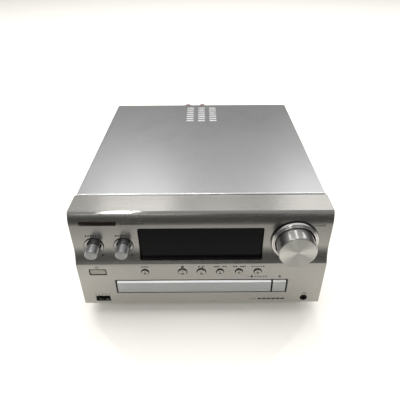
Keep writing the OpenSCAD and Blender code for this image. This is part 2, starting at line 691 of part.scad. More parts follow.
module pickup_sled() color("black") in_loader() difference() {
    union() {
        block([-27, sled_y - 12, 12.9], [27, sled_y + 12, 18.5]);
        block([26, sled_y - 5, 12.9], [35, sled_y + 5, 18.5]);
        translate([0, sled_y, 18]) cylinder(h = 1.9, r = 4);
    }
    translate([0, sled_y, 19.4]) cylinder(h = 2, r = 2.6);
    translate([0, disc_y, 12]) cylinder(h = 2.4, r = spindle_motor_r + 0.5);
    for (side = [-1, 1]) rod_y(side * rod_x, hinge_z, sled_y - 20, sled_y + 20, rod_r + 0.08);
    rod_y(screw_x, screw_z, sled_y - 20, sled_y + 20, screw_r + 0.3);
}

module sled_screw() color("lightgray") in_loader() difference() {
    rod_y(screw_x, screw_z, 78.5, sled_motor_y[0] + 6, screw_r);
    for (i = [0:17]) turned_y(screw_x, screw_z, [
        [screw_r + 1, 84.4 + i * 3], [screw_r + 1, 85.6 + i * 3], [screw_r - 0.35, 85.2 + i * 3],
        [screw_r - 0.35, 84.8 + i * 3]
    ]);
}

module disc_clamp() color("white") in_loader() translate([0, disc_y, 0]) rotate_extrude() polygon([
    [8.2, 25.4], [14.5, 25.4], [14.5, 28.4], [9.8, 28.4], [9.8, 31.8], [14, 31.8], [14, 33.5], [0, 33.5],
    [0, 27.9], [8.2, 27.9]
]);

// Feet and fasteners

module at_feet() for (side = [-1, 1], y = foot_y) translate([side * foot_x, y, 0]) children();

foot_r = 14;
module feet() color("dimgray") at_feet() difference() {
    rotate_extrude() polygon([[0, -foot_h + 2], [foot_r - 3, -foot_h + 2], [foot_r - 1, -foot_h + 3.5],
        [foot_r, -foot_h + 6], [foot_r, -1], [foot_r - 1, 0], [0, 0]]);
    translate([0, 0, -foot_h]) cylinder(h = foot_h + 1, r = 1.3);
    translate([0, 0, -foot_h - 1]) cylinder(h = foot_h - 5, r = 4);
}

module foot_pads() color("black") at_feet() translate([0, 0, -foot_h]) difference() {
    cylinder(h = 2, r = foot_r - 3.5);
    translate([0, 0, -1]) cylinder(h = 4, r = 4.2);
}

// A cross-head screw whose head stands on z = 0 and whose thread points down
module screw(length) difference() {
    union() {
        translate([0, 0, 0.02]) rotate_extrude() polygon([[0, 0], [2.9, 0], [2.7, 1.2], [1.6, 1.9], [0, 2]]);
        translate([0, 0, -length]) cylinder(h = length + 1, r = 1.25);
    }
    for (a = [0, 90]) rotate([0, 0, a]) translate([-1.6, -0.35, 1]) cube([3.2, 0.7, 2]);
}

module case_screws() color("silver") {
    for (side = [-1, 1], y = cover_screw_y)
        translate([side * cover_w / 2, y, cover_screw_z]) rotate([0, side * 90, 0]) screw(5);
    for (p = rear_screw_at)
        translate([p[0], body_depth, p[1]]) rotate([-90, 0, 0]) screw(5);
    at_feet() translate([0, 0, -6]) rotate([180, 0, 0]) screw(7.5);
}

// Rear sockets

post_y = body_depth + terminal_reach;
post_at = [for (sx = [-1, 1], sz = [1, -1])
    [terminal_x + sx * terminal_pitch / 2, terminal_z + sz * terminal_pitch / 2]];
post_bore_r = 2.05;
post_bore_depth = 17;

module terminal_block() color("black") difference() {
    union() {
        along_y(body_depth, body_depth + 2.2) translate([terminal_x, terminal_z]) rounded_rect(40, 38, 2);
        along_y(body_depth - 6, body_depth + eps) translate([terminal_x, terminal_z]) square([29, 29], center = true);
        for (p = post_at) rod_y(p[0], p[1], body_depth + 2.1, body_depth + 3.6, 7.4);
    }
    for (p = post_at) rod_y(p[0], p[1], body_depth - 7, body_depth + 5, 3.1);
}

module speaker_posts() color("gold") for (p = post_at) turned_y(p[0], p[1], [
    [0, body_depth - 9], [3.05, body_depth - 9], [3.05, post_y - 0.1], [post_bore_r, post_y - 0.1],
    [post_bore_r, post_y - 0.1 - post_bore_depth], [0, post_y - 0.1 - post_bore_depth]
]);

// A fluted screw cap round a speaker post
module post_cap(p) difference() {
    turned_y(p[0], p[1], [
        [3.12, body_depth + 4], [6.1, body_depth + 4], [6.6, body_depth + 5.5], [6.6, post_y - 1],
        [6, post_y], [3.12, post_y]
    ]);
    for (a = [0:30:330])
        rod_y(p[0] + 7 * cos(a), p[1] + 7 * sin(a), body_depth + 6.5, post_y + 1, 0.9);
}
module left_upper_cap() color("firebrick") post_cap(post_at[0]);
module left_lower_cap() color("dimgray") post_cap(post_at[1]);
module right_upper_cap() color("firebrick") post_cap(post_at[2]);
module right_lower_cap() color("dimgray") post_cap(post_at[3]);

module rca_jacks() color("lightgray") for (p = rca_at) turned_y(p[0], p[1], [
    [0, body_depth - 6], [5, body_depth - 6], [5, body_depth], [6.2, body_depth], [6.2, body_depth + 1.4],
    [4.15, body_depth + 1.4], [4.15, body_depth + 9], [1.65, body_depth + 9], [1.65, body_depth + 1],
    [0, body_depth + 1]
]);

module optical_socket() color("black") difference() {
    block([optical_at[0] - 5, body_depth - 8, optical_at[1] - 5],
          [optical_at[0] + 5, body_depth + 3, optical_at[1] + 5]);
    block([optical_at[0] - 3, body_depth - 4, optical_at[1] - 3],
          [optical_at[0] + 3, body_depth + 4, optical_at[1] + 3]);
}

module antenna_socket() color("lightgray") turned_y(antenna_at[0], antenna_at[1], [
    [0, body_depth - 6], [5, body_depth - 6], [5, body_depth], [6.4, body_depth], [6.4, body_depth + 2],
    [4.7, body_depth + 2], [4.7, body_depth + 11], [0.8, body_depth + 11], [0.8, body_depth + 4],
    [0, body_depth + 4]
]);

// Two-pin mains inlet with a figure-of-eight well
module ac_inlet() color("black") translate([inlet_at[0], body_depth, inlet_at[1]]) {
    difference() {
        union() {
            along_y(0, 1.6) rounded_rect(27, 18, 1.5);
            along_y(-16, eps) rounded_rect(22, 14, 1);
        }
        along_y(-13, 3) {
            for (side = [-1, 1]) translate([side * 4.3, 0]) circle(4.4);
            square([8.6, 6], center = true);
        }
    }
    for (side = [-1, 1]) rod_y(side * 4.3, 0, -13.5, -2, 1.2);
}

translate([0, front_y, foot_h]) {
    top_cover();
    vent_louvre();
    bottom_chassis();
    rear_panel();
    front_panel();
    display_bezel();
    display_window();
    display_module();
    front_board();
    button_board();
    volume_collar();
    tone_collars();
    knob_controls();
    usb_port();
    headphone_jack();
    main_board();
    board_parts();
    transformer();
    heat_sink();
    loader_chassis();
    loading_motor();
    loading_belt();
    feet();
    foot_pads();
    case_screws();
    terminal_block();
    speaker_posts();
    rca_jacks();
    optical_socket();
    antenna_socket();
    ac_inlet();
    volume_knob();
    volume_shaft();
    bass_knob();
    treble_knob();
    power_button();
    radio_button();
    stop_button();
    play_button();
    back_button();
    forward_button();
    selector_button();
    eject_button();
    disc_tray();
    tray_front();
    tray_drive_gear();
    belt_pulley();
    motor_pulley();
    traverse_frame();
    guide_rods();
    traverse_motors();
    turntable();
    pickup_sled();
    sled_screw();
    disc_clamp();
    left_upper_cap();
    left_lower_cap();
    right_upper_cap();
    right_lower_cap();
}
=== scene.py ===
import json
import math

import bmesh
import bpy
from mathutils import Matrix, Vector


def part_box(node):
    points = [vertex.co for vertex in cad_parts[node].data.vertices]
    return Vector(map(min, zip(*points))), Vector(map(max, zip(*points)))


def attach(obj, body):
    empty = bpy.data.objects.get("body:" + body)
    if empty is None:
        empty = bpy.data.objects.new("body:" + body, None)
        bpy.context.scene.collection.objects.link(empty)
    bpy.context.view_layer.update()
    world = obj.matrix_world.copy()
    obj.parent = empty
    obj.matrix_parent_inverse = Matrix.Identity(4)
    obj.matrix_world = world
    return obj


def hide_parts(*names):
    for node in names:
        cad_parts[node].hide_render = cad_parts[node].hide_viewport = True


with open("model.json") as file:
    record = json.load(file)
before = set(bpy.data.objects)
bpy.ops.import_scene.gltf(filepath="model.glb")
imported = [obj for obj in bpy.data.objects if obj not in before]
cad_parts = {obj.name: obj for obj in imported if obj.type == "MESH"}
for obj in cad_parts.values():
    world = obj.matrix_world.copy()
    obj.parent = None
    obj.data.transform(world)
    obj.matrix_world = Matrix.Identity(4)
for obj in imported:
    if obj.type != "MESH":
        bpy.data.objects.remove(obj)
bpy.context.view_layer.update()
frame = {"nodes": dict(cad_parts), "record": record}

MM = 0.001
# the fascia's lower front edge, from which positions on it are measured in millimetres
CORNER = Vector((0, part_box("front_panel")[0].y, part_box("front_panel")[0].z))


def place(x, y, z):
    """A point in the row frame from millimetres to the right of, behind and above the fascia's lower edge."""
    return CORNER + Vector((x, y, z)) * MM


# ---------------------------------------------------------------- materials


def finish(name, color, metallic=0.0, rough=0.4, spread=0.05, tint=0.05, grain=900.0, stretch=(1, 1, 1),
           blotch=22.0, bump=0.05, depth=0.00003, wear=0.0, coat=0.0, aniso=0.0, turn=0.0, tangent=None,
           round_edges=0.0, specular=0.5, emission=None):
    """A procedural surface: fine grain and broad blotches vary its colour, roughness and relief.

    wear lightens the edges, round_edges softens them in the shading, and both are left out at 0.
    """
    made = bpy.data.materials.new(name)
    made.use_nodes = True
    nodes, link = made.node_tree.nodes, made.node_tree.links.new
    shader = nodes["Principled BSDF"]
    shader.inputs["Metallic"].default_value = metallic
    shader.inputs["Specular IOR Level"].default_value = specular
    shader.inputs["Coat Weight"].default_value = coat
    shader.inputs["Coat Roughness"].default_value = 0.06
    coords = nodes.new("ShaderNodeTexCoord")
    stretched = nodes.new("ShaderNodeMapping")
    stretched.inputs["Scale"].default_value = stretch
    link(coords.outputs["Object"], stretched.inputs["Vector"])
    fine = nodes.new("ShaderNodeTexNoise")
    fine.inputs["Scale"].default_value = grain
    fine.inputs["Detail"].default_value = 3
    link(stretched.outputs["Vector"], fine.inputs["Vector"])
    broad = nodes.new("ShaderNodeTexNoise")
    broad.inputs["Scale"].default_value = blotch
    broad.inputs["Detail"].default_value = 4
    link(coords.outputs["Object"], broad.inputs["Vector"])

    def ranged(source, low, high):
        node = nodes.new("ShaderNodeMapRange")
        node.inputs["From Min"].default_value = 0.3
        node.inputs["From Max"].default_value = 0.7
        node.inputs["To Min"].default_value = low
        node.inputs["To Max"].default_value = high
        link(source, node.inputs["Value"])
        return node.outputs["Result"]

    def mixed(factor, a, b):
        node = nodes.new("ShaderNodeMix")
        node.data_type = "RGBA"
        link(factor, node.inputs["Factor"])
        for socket, value in (("A", a), ("B", b)):
            slot = [s for s in node.inputs if s.name == socket and s.type == "RGBA"][0]
            if isinstance(value, bpy.types.NodeSocket):
                link(value, slot)
            else:
                slot.default_value = (*[min(1, max(0, v)) for v in value], 1)
        return [s for s in node.outputs if s.type == "RGBA"][0]

    total = nodes.new("ShaderNodeMath")
    link(ranged(fine.outputs["Fac"], rough - spread, rough + spread), total.inputs[0])
    link(ranged(broad.outputs["Fac"], -spread / 2, spread / 2), total.inputs[1])
    total.use_clamp = True
    link(total.outputs[0], shader.inputs["Roughness"])
    darker, lighter = [c * (1 - tint) for c in color], [c * (1 + tint) for c in color]
    paint = mixed(ranged(fine.outputs["Fac"], 0, 1), darker, lighter)
    paint = mixed(ranged(broad.outputs["Fac"], 0, 0.35), paint, darker)
    normal = None
    if wear or round_edges:
        soft = nodes.new("ShaderNodeBevel")
        soft.samples = 4
        soft.inputs["Radius"].default_value = round_edges or 0.0003
        if round_edges:
            normal = soft.outputs["Normal"]
    if wear:
        geometry = nodes.new("ShaderNodeNewGeometry")
        along = nodes.new("ShaderNodeVectorMath")
        along.operation = "DOT_PRODUCT"
        link(soft.outputs["Normal"], along.inputs[0])
        link(geometry.outputs["Normal"], along.inputs[1])
        edge = nodes.new("ShaderNodeMapRange")
        edge.inputs["From Min"].default_value = 0.995
        edge.inputs["From Max"].default_value = 0.85
        link(along.outputs["Value"], edge.inputs["Value"])
        broken = nodes.new("ShaderNodeMath")
        broken.operation = "MULTIPLY"
        link(edge.outputs["Result"], broken.inputs[0])
        link(ranged(broad.outputs["Fac"], 0, wear), broken.inputs[1])
        paint = mixed(broken.outputs[0], paint, [min(1, c * 1.6 + 0.05) for c in color])
    link(paint, shader.inputs["Base Color"])
    relief = nodes.new("ShaderNodeBump")
    relief.inputs["Strength"].default_value = bump
    relief.inputs["Distance"].default_value = depth
    link(fine.outputs["Fac"], relief.inputs["Height"])
    if normal:
        link(normal, relief.inputs["Normal"])
    link(relief.outputs["Normal"], shader.inputs["Normal"])
    if aniso:
        shader.inputs["Anisotropic"].default_value = aniso
        shader.inputs["Anisotropic Rotation"].default_value = turn
        if tangent == "spun":
            around = nodes.new("ShaderNodeTangent")
            around.direction_type = "RADIAL"
            around.axis = "Y"
            link(around.outputs["Tangent"], shader.inputs["Tangent"])
        else:
            straight = nodes.new("ShaderNodeCombineXYZ")
            for i in range(3):
                straight.inputs[i].default_value = tangent[i]
            link(straight.outputs[0], shader.inputs["Tangent"])
    # emission makes a surface glow with its own colour: painted light, not a lamp
    if emission:
        shader.inputs["Emission Color"].default_value = (*color, 1)
        shader.inputs["Emission Strength"].default_value = emission
    return made


HAIRLINE = (3, 260, 260)
UPRIGHT = (0, 0.7, 0.7)
SURFACES = {
    "cover_steel": dict(color=(0.46, 0.46, 0.462), metallic=1.0, rough=0.30, grain=2600, bump=0.06,
        wear=0.3, spread=0.03, tint=0.03),
    "chassis_steel": dict(color=(0.52, 0.53, 0.54), metallic=1.0, rough=0.42, grain=700,
        stretch=(1, 9, 9), wear=0.4, round_edges=0.0002),
    "fascia_aluminium": dict(color=(0.335, 0.326, 0.304), metallic=1.0, rough=0.25, stretch=HAIRLINE,
        grain=30, spread=0.025, tint=0.05, bump=0.02, aniso=0.5, tangent=UPRIGHT, wear=0.2),
    # a slightly lighter copy of the fascia metal for the top face: painted light
    "fascia_top_painted_light": dict(color=(0.36, 0.35, 0.328), metallic=1.0, rough=0.25, stretch=HAIRLINE, grain=30,
        spread=0.025, tint=0.05, bump=0.02, aniso=0.5, tangent=UPRIGHT, wear=0.2),
    "chamfer_polish": dict(color=(0.55, 0.53, 0.50), metallic=1.0, rough=0.08, spread=0.02, tint=0.02,
        grain=60, stretch=HAIRLINE, bump=0.02),
    "drawer_aluminium": dict(color=(0.335, 0.345, 0.35), metallic=1.0, rough=0.25, stretch=HAIRLINE,
        grain=30, spread=0.03, tint=0.04, bump=0.05, aniso=0.5, tangent=UPRIGHT, wear=0.3),
    "knob_face": dict(color=(0.60, 0.595, 0.555), metallic=1.0, rough=0.40, spread=0.03, tint=0.03,
        grain=500, bump=0.03, aniso=0.95, turn=0.25, tangent="spun"),
    "knob_side": dict(color=(0.46, 0.455, 0.44), metallic=1.0, rough=0.40, spread=0.03, tint=0.03,
        grain=900, stretch=(1, 0.1, 1), bump=0.02, aniso=0.95, tangent=(0, 1, 0)),
    "tone_face": dict(color=(0.31, 0.31, 0.305), metallic=1.0, rough=0.34, spread=0.03, tint=0.03,
        grain=500, bump=0.03, aniso=0.8, turn=0.25, tangent="spun"),
    "tone_side": dict(color=(0.60, 0.60, 0.61), metallic=1.0, rough=0.48, spread=0.05, tint=0.04,
        grain=900, stretch=(1, 0.1, 1), bump=0.05, aniso=0.9, tangent=(0, 1, 0)),
    "tone_dish": dict(color=(0.33, 0.325, 0.31), metallic=1.0, rough=0.22, spread=0.03, tint=0.03,
        grain=500, bump=0.03, aniso=0.6, turn=0.25, tangent="spun"),
    # painted shade: a near-black for the walls of openings and gaps, the wells round the knobs and keys, and
    # the top face behind the drawer's edge
    "painted_shade_black": dict(color=(0.003, 0.003, 0.003), metallic=0.0, rough=0.5, spread=0.03, grain=900,
        bump=0.1, specular=0.1),
    # a near-white copy of the drawer's metal for its slanted top edge: a painted highlight
    "drawer_edge_painted_highlight": dict(color=(0.94, 0.94, 0.94), metallic=0.5, rough=0.42, spread=0.03, tint=0.02,
        grain=600, bump=0.02),
    # a light copy of the cover's steel for its rolled front edge: a painted highlight
    "cover_edge_painted_highlight": dict(color=(0.85, 0.85, 0.85), metallic=1.0, rough=0.22, spread=0.03, tint=0.02,
        grain=600, bump=0.02),
    "bright_trim": dict(color=(0.62, 0.61, 0.59), metallic=1.0, rough=0.12, spread=0.03, tint=0.02,
        grain=300, bump=0.02),
    "key_metal": dict(color=(0.34, 0.325, 0.285), metallic=1.0, rough=0.24, spread=0.04, tint=0.05,
        grain=1200, bump=0.05, aniso=0.7, turn=0.25, tangent="spun"),
    "power_metal": dict(color=(0.26, 0.25, 0.22), metallic=1.0, rough=0.28, stretch=HAIRLINE, grain=30,
        spread=0.03, tint=0.04, bump=0.05, aniso=0.5, tangent=UPRIGHT, wear=0.3),
    "display_glass": dict(color=(0.003, 0.003, 0.0032), metallic=0.0, rough=0.10, spread=0.02, grain=500,
        bump=0.01, specular=0.065),
    "rim_gloss": dict(color=(0.0012, 0.0012, 0.0012), metallic=0.0, rough=0.25, spread=0.03, grain=500,
        bump=0.02, specular=0.04),
    "black_plastic": dict(color=(0.012, 0.012, 0.013), metallic=0.0, rough=0.48, grain=1500, bump=0.25,
        depth=0.00008, wear=0.3),
    "grey_plastic": dict(color=(0.12, 0.12, 0.125), metallic=0.0, rough=0.45, grain=1300, bump=0.22,
        depth=0.00008, wear=0.3),
    "white_plastic": dict(color=(0.72, 0.72, 0.70), metallic=0.0, rough=0.38, grain=900, bump=0.1,
        wear=0.2),
    # the louvre glows with its own colour: painted light for the lit space under the vents
    "louvre_plastic": dict(color=(0.92, 0.92, 0.91), metallic=0.0, rough=0.35, grain=900, bump=0.1,
        emission=0.3),
    "circuit_board": dict(color=(0.02, 0.11, 0.05), metallic=0.0, rough=0.28, grain=260, tint=0.35,
        bump=0.3, depth=0.0001),
    "component_body": dict(color=(0.03, 0.035, 0.07), metallic=0.0, rough=0.30, grain=500, bump=0.05,
        round_edges=0.0004),
    "core_iron": dict(color=(0.25, 0.19, 0.10), metallic=0.4, rough=0.5, grain=900, stretch=(1, 1, 12),
        tint=0.2, bump=0.3, depth=0.0001),
    "sink_aluminium": dict(color=(0.45, 0.45, 0.46), metallic=1.0, rough=0.38, grain=500,
        stretch=(1, 1, 0.1), bump=0.1),
    "pad_rubber": dict(color=(0.02, 0.02, 0.02), metallic=0.0, rough=0.75, grain=1600, bump=0.4,
        depth=0.0001),
    "belt_rubber": dict(color=(0.02, 0.02, 0.022), metallic=0.0, rough=0.6, grain=900, bump=0.15),
    "screw_steel": dict(color=(0.58, 0.58, 0.57), metallic=1.0, rough=0.28, grain=1400, bump=0.1,
        wear=0.4),
    "gold_contact": dict(color=(0.80, 0.58, 0.22), metallic=1.0, rough=0.20, grain=900, bump=0.03),
    "motor_steel": dict(color=(0.50, 0.50, 0.51), metallic=1.0, rough=0.30, grain=700, stretch=(1, 1, 6),
        bump=0.08),
    "red_plastic": dict(color=(0.10, 0.008, 0.010), metallic=0.0, rough=0.30, grain=900, bump=0.05,
        coat=0.1, wear=0.2),
    "smoke_plastic": dict(color=(0.012, 0.012, 0.013), metallic=0.0, rough=0.22, grain=900, bump=0.05,
        coat=0.4, wear=0.2),
    "legend_ink": dict(color=(0.02, 0.019, 0.018), metallic=0.0, rough=0.55, grain=1500, bump=0.1,
        specular=0.2),
    "badge_gloss": dict(color=(0.010, 0.006, 0.005), metallic=0.0, rough=0.25, grain=800, bump=0.02,
        specular=0.12),
}
look = {name: finish(name, **settings) for name, settings in SURFACES.items()}

for entry in frame["record"]["subparts"]:
    shown = frame["nodes"][entry["node"]]
    shown.data.materials.clear()
    shown.data.materials.append(look.get(entry["material_slot"]) or look["knob_side"])
for name in ("left_lower_cap", "right_lower_cap"):
    frame["nodes"][name].data.materials[0] = look["smoke_plastic"]
# the headphone socket takes the same black, as painted shade in its hole
frame["nodes"]["headphone_jack"].data.materials[0] = look["painted_shade_black"]

# ---------------------------------------------------------------- mesh helpers


def piece(name, mesh, materials, body, nodes=()):
    """Puts a finished mesh in the scene, on its CAD body."""
    made = bpy.data.objects.new(name, mesh)
    bpy.context.scene.collection.objects.link(made)
    for one in materials:
        mesh.materials.append(look[one])
    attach(made, body)
    if nodes:
        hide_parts(*nodes)
    return made


def smooth(bm, limit=32):
    """Smooth shading, with the edges above a limit in degrees kept sharp."""
    for face in bm.faces:
        face.smooth = True
    for edge in bm.edges:
        edge.smooth = len(edge.link_faces) == 2 and edge.calc_face_angle(0) < math.radians(limit)


def to_mesh(bm, name):
    mesh = bpy.data.meshes.new(name)
    bm.to_mesh(mesh)
    bm.free()
    return mesh


def rounded_copy(node, name, material, body, radius=0.2, steps=3, keep_above=28, paint=None):
    """A copy of a CAD node with its seams welded, its flats merged and its edges rounded by radius, in mm."""
    bm = bmesh.new()
    bm.from_mesh(frame["nodes"][node].data)
    bmesh.ops.remove_doubles(bm, verts=bm.verts, dist=0.002 * MM)
    bmesh.ops.dissolve_limit(bm, angle_limit=math.radians(0.4), verts=bm.verts, edges=bm.edges)
    sharp = math.radians(keep_above)
    edges = [e for e in bm.edges if len(e.link_faces) == 2 and e.calc_face_angle(0) > sharp]
    bmesh.ops.bevel(bm, geom=edges, offset=radius * MM, segments=steps, profile=0.5, affect="EDGES",
                    clamp_overlap=True)
    bmesh.ops.triangulate(bm, faces=[f for f in bm.faces if len(f.verts) > 4])
    smooth(bm, 40)
    for face in bm.faces:
        face.material_index = paint(face) if paint else 0
    made = piece(name, to_mesh(bm, name), material, body, [node])
    weighted = made.modifiers.new("weighted", "WEIGHTED_NORMAL")
    weighted.keep_sharp = True
    return made


def turned(name, centre, outline, materials, body, nodes=(), steps=128, paint=None, limit=32):
    """A turned piece about an axis along y through centre, which is (x, z) in mm.

    outline is its line of (radius, y) in mm, and paint gives the material of each stretch of it.
    """
    bm = bmesh.new()
    rings = []
    for radius, y in outline:
        if radius < 1e-6:
            rings.append([bm.verts.new(place(centre[0], y, centre[1]))])
        else:
            rings.append([
                bm.verts.new(place(centre[0] + radius * math.cos(a), y, centre[1] + radius * math.sin(a)))
                for a in (2 * math.pi * k / steps for k in range(steps))
            ])
    for index, (low, high) in enumerate(zip(rings, rings[1:])):
        for k in range(steps):
            nxt = (k + 1) % steps
            corners = [low[k % len(low)], low[nxt % len(low)], high[nxt % len(high)], high[k % len(high)]]
            corners = list(dict.fromkeys(corners))
            face = bm.faces.new(corners)
            face.material_index = paint(index) if paint else 0
    bmesh.ops.recalc_face_normals(bm, faces=bm.faces)
    smooth(bm, limit)
    return piece(name, to_mesh(bm, name), materials, body, nodes)


# ---------------------------------------------------------------- fascia

BAND_Y = 4.3
FLARE = {"low": 48.5, "high": 65.5}
FLARE_R = ((FLARE["high"] - FLARE["low"]) ** 2 + BAND_Y ** 2) / (2 * BAND_Y)
LEAN = {"low": 86.5, "high": 97.0, "run": 2.5}
LEAN_R = ((LEAN["high"] - LEAN["low"]) ** 2 + LEAN["run"] ** 2) / (2 * LEAN["run"])


def front_y(z):
    """How far the fascia's surface lies behind the lower fascia at a height, in mm."""
    if z <= FLARE["low"]:
        return 0.0
    if z < FLARE["high"]:
        return BAND_Y - FLARE_R + math.sqrt(FLARE_R ** 2 - (z - FLARE["high"]) ** 2)
    if z > LEAN["low"]:
        return BAND_Y + LEAN_R - math.sqrt(LEAN_R ** 2 - (z - LEAN["low"]) ** 2)
    return BAND_Y


# where things stand on the fascia, as (x, z) in mm
POWER = (-88.3, 39.7)
USB = (-88.3, 6.9)
DRAWER = (0.05, 21.7)
VOLUME = (76.5, 70.5)
TONES = {"bass": (-88.5, 65.9), "treble": (-64.0, 65.9)}
KEY_Z = 39.8
KEYS = {"radio": -48, "stop": -16, "play": 0, "back": 16, "forward": 32, "selector": 48}
LARGE_KEYS = ("stop", "play")

# the openings whose inner walls are painted black as painted shade, as (middle x, middle z, half width, half
# height) in mm
OPENINGS = [(*POWER, 7.6, 3.7), (*DRAWER, 74.9, 8.2), (*USB, 6.9, 3.7),
            *[(x, KEY_Z, 4.3, 4.3) for x in KEYS.values()]]
FASCIA_TOP_Z = 97


def fascia_paint(face):
    """1 on the polished top front edge, 2 on the openings' walls, painted black as painted shade, 3 on the
    top face, in a lighter copy of the metal as painted light, 0 elsewhere.
    """
    middle = (face.calc_center_median() - CORNER) / MM
    if face.normal.z > 0.9 and middle.z > FASCIA_TOP_Z:
        return 3
    if face.normal.y < -0.5 and 0.55 < face.normal.z < 0.85 and middle.z > FASCIA_TOP_Z:
        return 1
    if abs(face.normal.y) < 0.9 and middle.y > -0.1:
        for x, z, half_w, half_h in OPENINGS:
            if abs(middle.x - x) < half_w and abs(middle.z - z) < half_h:
                return 2
    return 0


rounded_copy("front_panel", "fascia", ["fascia_aluminium", "chamfer_polish", "painted_shade_black", "fascia_top_painted_light"],
             "cabinet", radius=0.18, steps=2, paint=fascia_paint)

cover_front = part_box("top_cover")[0].y


def cover_paint(face):
    """1 on the cover's rolled front edge, painted lighter as a painted highlight, 0 elsewhere."""
    near = face.calc_center_median().y < cover_front + 1.2 * MM
    return 1 if near and face.normal.z > 0.15 and face.normal.y < -0.08 else 0


rounded_copy("top_cover", "cover", ["cover_steel", "cover_edge_painted_highlight"], "cabinet", radius=0.15, steps=2,
             paint=cover_paint)


def bevel_paint(face):
    """1 on the slanted top edge of the drawer's front and eject key, a painted highlight, 2 on the top face
    behind it, painted black as painted shade, else 0.
    """
    if face.normal.z > 0.5 and face.normal.y < -0.2:
        return 1
    return 2 if face.normal.z > 0.9 else 0


for node, name, body in (
    ("tray_front", "drawer_front", "drawer"),
    ("eject_button", "eject_cap", "eject_key"),
):
    rounded_copy(node, name, ["drawer_aluminium", "drawer_edge_painted_highlight", "painted_shade_black"], body, radius=0.15,
                 steps=2, paint=bevel_paint)
rounded_copy("power_button", "power_cap", ["power_metal"], "power_key", radius=0.12, steps=2)
rounded_copy("display_window", "display_pane", ["display_glass"], "cabinet", radius=0.25, steps=3)
rim_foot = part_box("display_window")[0].z + 0.5 * MM
rounded_copy("display_bezel", "display_rim", ["rim_gloss", "display_glass"], "cabinet", radius=0.1, steps=2,
             paint=lambda face: int(face.calc_center_median().z < rim_foot))

# two polished beads round the knob; the outer wall and the well behind them are painted black, as painted
# shade
bead = [
    (16.3, 6.8), (16.3, 1.05), (16.38, 0.75), (16.6, 0.53), (16.9, 0.5), (17.2, 0.66), (17.4, 1.0),
    (17.48, 1.25), (17.58, 1.15), (17.8, 1.0), (18.2, 1.0), (18.6, 1.2), (18.95, 1.6), (19.2, 2.2),
    (19.4, 2.9), (19.5, 3.3),
]
turned("volume_bezel", VOLUME, [
    *bead, (19.6, 4.3), (16.95, 4.3), (16.95, 7.9), (5.3, 7.9), (5.3, 6.8), (16.3, 6.8),
], ["bright_trim", "painted_shade_black"], "cabinet", ["volume_collar"],
    paint=lambda i: 0 if 1 <= i < len(bead) - 2 else 1)

turned("volume_dial_face", VOLUME, [
    (0, -10.86), (5, -10.87), (10, -10.9), (14.2, -10.98), (14.45, -11.0), (14.7, -10.95), (15.2, -10.5),
    (15.3, -10.2), (15.3, -9.9), (15.22, -9.8), (15.3, -9.7), (15.3, 2.2), (15.1, 2.5), (13.7, 2.5),
    (13.7, -7.8), (5.1, -7.8), (5.1, 2.9), (3.05, 2.9), (3.05, -6.1), (0, -6.1),
], ["knob_face", "knob_side"], "volume_dial", ["volume_knob"],
    paint=lambda i: 0 if i < 4 else 1)

# four turned grooves round each tone knob, which ends in a bright root ring
CAP_R, GROOVE_R = 4.8, 4.6
grooves = []
for k in range(4):
    y = -5.6 + 1.6 * k
    grooves += [(CAP_R, y), (GROOVE_R, y + 0.12), (GROOVE_R, y + 0.42), (CAP_R, y + 0.54)]
ring_start = 5 + len(grooves)


def tone_paint(i):
    """0 on the knob's face, 2 on its root ring, 1 on its side."""
    if i < 2:
        return 0
    return 2 if ring_start <= i <= ring_start + 2 else 1


for name, at in TONES.items():
    turned(name + "_cap", at, [
        (0, -7.44), (4.0, -7.5), (4.35, -7.48), (4.7, -7.2), (CAP_R, -6.9), *grooves, (CAP_R, 1.0),
        (5.0, 1.5), (5.0, 2.7), (CAP_R, 3.1), (CAP_R, 5.2), (2.0, 5.2), (2.0, 15.5), (0, 15.5),
    ], ["tone_face", "tone_side", "bright_trim"], name + "_dial", [name + "_knob"],
        paint=tone_paint)

# both dishes replace the one node that holds the two collars; the outer step of each dish and the well behind
# it are painted black as painted shade
for name, at in TONES.items():
    turned(name + "_bezel", at, [
        (8.2, 4.3), (8.2, 3.72), (8.1, 3.62), (7.8, 3.6), (7.5, 3.66), (7.38, 3.78), (6.0, 4.15),
        (5.9, 4.3), (5.9, 6.9), (3.4, 6.9), (3.4, 7.9), (6.9, 7.9), (6.9, 4.3), (8.2, 4.3),
    ], ["tone_dish", "painted_shade_black"], "cabinet", ["tone_collars"] if name == "bass" else (),
        paint=lambda i: 1 if i >= 7 or i < 3 else 0)

# each key: a dished middle, a raised lip, and an edge below the lip painted black as painted shade in the gap
# round the key
for name, x in KEYS.items():
    r = 3.6 if name in LARGE_KEYS else 3.0
    turned(name + "_cap", (x, KEY_Z), [
        (0, -0.5), (0.35, -0.52), (r - 1.5, -0.92), (r - 1.15, -1.08), (r - 0.75, -1.1), (r - 0.3, -0.85),
        (r - 0.05, -0.35), (r, 0), (r, 4.3), (r + 1, 4.3), (r + 1, 5.3), (1.8, 5.3), (1.8, 7.55), (0, 7.55),
    ], ["key_metal", "knob_side", "painted_shade_black"], name + "_key", [name + "_button"], steps=64,
        paint=lambda i: 0 if i < 3 else (1 if i < 5 else 2))

# ---------------------------------------------------------------- printed legends

INK_PROUD = 0.03
INK_DEEP = 0.02


def bar(x, z, w, h):
    """An upright oblong about its middle."""
    return [(x - w / 2, z - h / 2), (x + w / 2, z - h / 2), (x + w / 2, z + h / 2), (x - w / 2, z + h / 2)]


def triangle(x, z, w, h, way=1):
    """An arrowhead about its middle, pointing right, or left with way -1."""
    return [(x - way * w / 2, z - h / 2), (x + way * w / 2, z), (x - way * w / 2, z + h / 2)]


